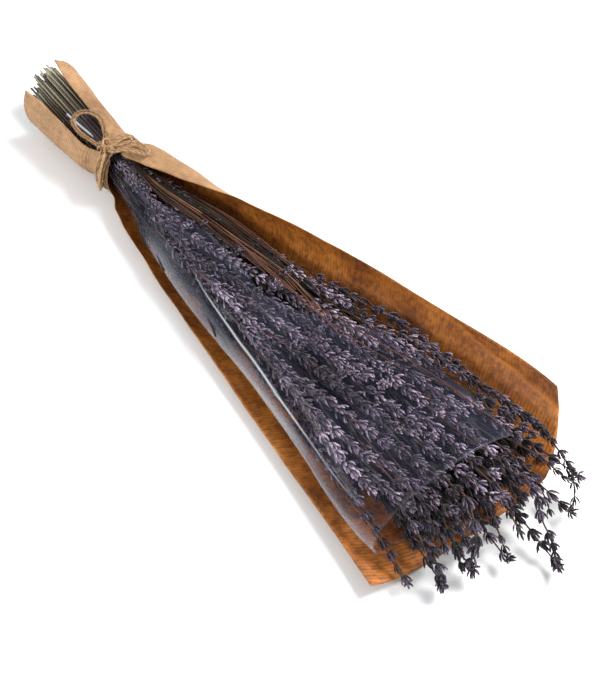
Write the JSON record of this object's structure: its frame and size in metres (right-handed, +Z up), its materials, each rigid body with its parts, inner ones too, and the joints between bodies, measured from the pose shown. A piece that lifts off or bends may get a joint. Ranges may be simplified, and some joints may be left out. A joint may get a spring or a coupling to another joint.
{
  "type": "dried lavender bunch",
  "caption": "Dried lavender bunch lying on its side, in a clear film sleeve and a ribbed kraft paper cone tied with jute twine and a bow.",
  "frame": {"origin": "centre of the bounding box in plan, on the surface that the bunch lies on", "axes": "+X runs along the bunch from the cut stem ends to the flower tips, +Z is up, +Y is across it"},
  "size_m": [0.5042, 0.1486, 0.0454],
  "materials": {
    "kraft_paper": "matt, ribbed",
    "clear_film": "clear gloss",
    "jute_twine": "coarse fibre",
    "dried_stem": "dry",
    "dried_flower": "dry, matt"
  },
  "bodies": {
    "root": {"paper_wrap": "kraft_paper", "film_sleeve": "clear_film", "twine_tie": "jute_twine", "stems": "dried_stem", "spike_01": "dried_flower", "spike_02": "dried_flower", "spike_03": "dried_flower", "spike_04": "dried_flower", "spike_05": "dried_flower", "spike_06": "dried_flower", "spike_07": "dried_flower", "spike_08": "dried_flower", "spike_09": "dried_flower", "spike_10": "dried_flower", "spike_11": "dried_flower", "spike_12": "dried_flower", "spike_13": "dried_flower", "spike_14": "dried_flower", "spike_15": "dried_flower", "spike_16": "dried_flower", "spike_17": "dried_flower", "spike_18": "dried_flower", "spike_19": "dried_flower", "spike_20": "dried_flower", "spike_21": "dried_flower", "spike_22": "dried_flower", "spike_23": "dried_flower", "spike_24": "dried_flower", "spike_25": "dried_flower", "spike_26": "dried_flower", "spike_27": "dried_flower", "spike_28": "dried_flower", "spike_29": "dried_flower", "spike_30": "dried_flower", "spike_31": "dried_flower", "spike_32": "dried_flower", "spike_33": "dried_flower", "spike_34": "dried_flower", "spike_35": "dried_flower", "spike_36": "dried_flower", "spike_37": "dried_flower", "spike_38": "dried_flower"}
  },
  "joints": []
}
